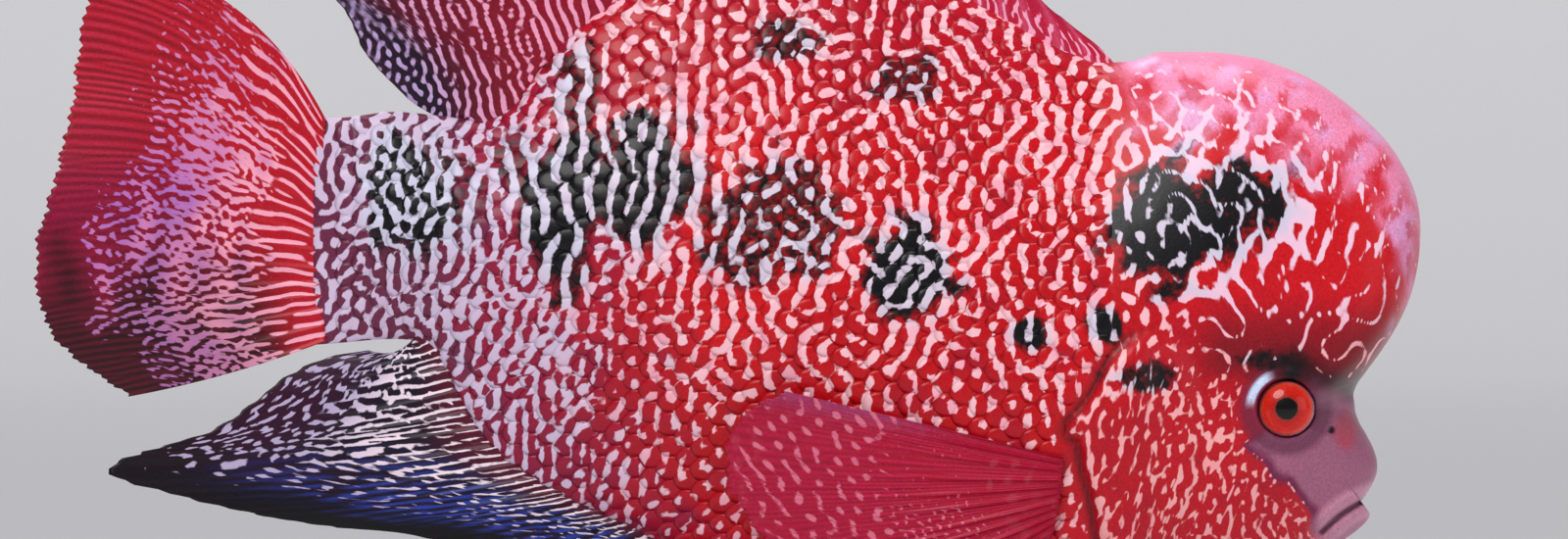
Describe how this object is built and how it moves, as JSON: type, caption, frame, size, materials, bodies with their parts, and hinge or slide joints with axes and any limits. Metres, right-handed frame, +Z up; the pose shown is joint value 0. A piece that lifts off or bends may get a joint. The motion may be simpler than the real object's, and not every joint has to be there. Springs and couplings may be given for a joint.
{
  "type": "flowerhorn cichlid",
  "caption": "Life-size still model of a flowerhorn cichlid with a large nuchal hump and spread fins, held by a plain display stand.",
  "frame": {"origin": "centre of the underside of the stand's base", "axes": "+X towards the fish's snout, +Y to its left side, +Z up"},
  "size_m": [0.2832, 0.084, 0.2135],
  "materials": {
    "scaled_skin": "moist scaled skin, red with pale pink worm marks and black blotches, soft gloss",
    "hump_skin": "smooth scaleless skin, pale pink with red patches, soft gloss",
    "lip_skin": "smooth fleshy skin, mauve pink, soft gloss",
    "fin_membrane": "thin ribbed membrane, red to dark purple with pale dots, satin",
    "eye": "clear cornea over a red-orange iris and a black pupil",
    "stand_wood": "oiled walnut, satin",
    "stand_steel": "brushed"
  },
  "bodies": {
    "root": {"head": "scaled_skin", "nuchal_hump": "hump_skin", "trunk": "scaled_skin", "tail_stalk": "scaled_skin", "upper_lip": "lip_skin", "lower_lip": "lip_skin", "gill_cover_left": "scaled_skin", "gill_cover_right": "scaled_skin", "eye_left": "eye", "eye_right": "eye", "caudal_fin": "fin_membrane", "dorsal_fin_spiny": "fin_membrane", "dorsal_fin_soft": "fin_membrane", "anal_fin": "fin_membrane", "pectoral_fin_left": "fin_membrane", "pectoral_fin_right": "fin_membrane", "pelvic_fin_left": "fin_membrane", "pelvic_fin_right": "fin_membrane", "stand_base": "stand_wood", "stand_rod_front": "stand_steel", "stand_rod_rear": "stand_steel"}
  },
  "joints": []
}
